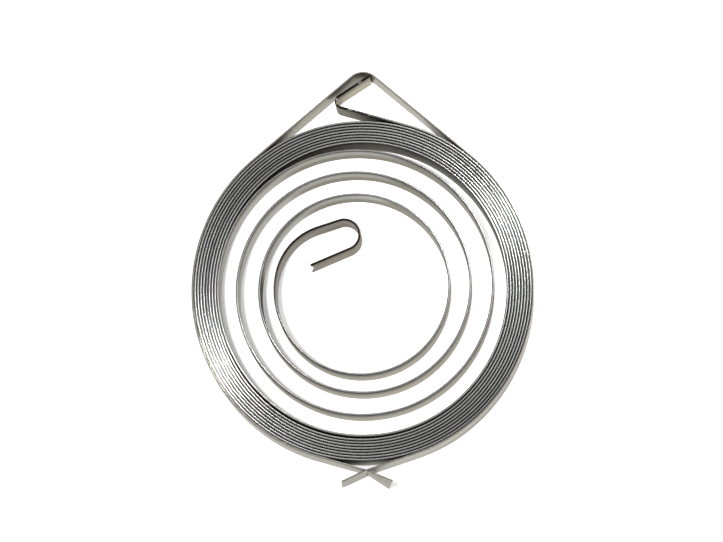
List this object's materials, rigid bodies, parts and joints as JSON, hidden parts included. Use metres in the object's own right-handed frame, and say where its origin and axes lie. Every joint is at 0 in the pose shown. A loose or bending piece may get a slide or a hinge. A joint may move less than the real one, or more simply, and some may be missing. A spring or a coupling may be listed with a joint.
{
  "type": "recoil starter spring",
  "caption": "Flat spiral steel spring for a pull-cord engine starter, hooked at both ends and held wound by a thin steel band whose ends cross in half-lap slots.",
  "frame": {"origin": "on the coil axis, in the plane that both strips stand on", "axes": "+Z along the coil axis, +Y toward the band's corner and the outer hook, and +X to the right of it seen from above"},
  "size_m": [0.0763, 0.0923, 0.01],
  "materials": {
    "spring_steel": "bright cold-rolled spring strip with a thin straw-coloured film on the faces and bright rounded edges",
    "band_steel": "bright cold-rolled thin strip, lighter than the spring"
  },
  "bodies": {
    "root": {"spring": "spring_steel", "retaining_band": "band_steel"}
  },
  "joints": []
}
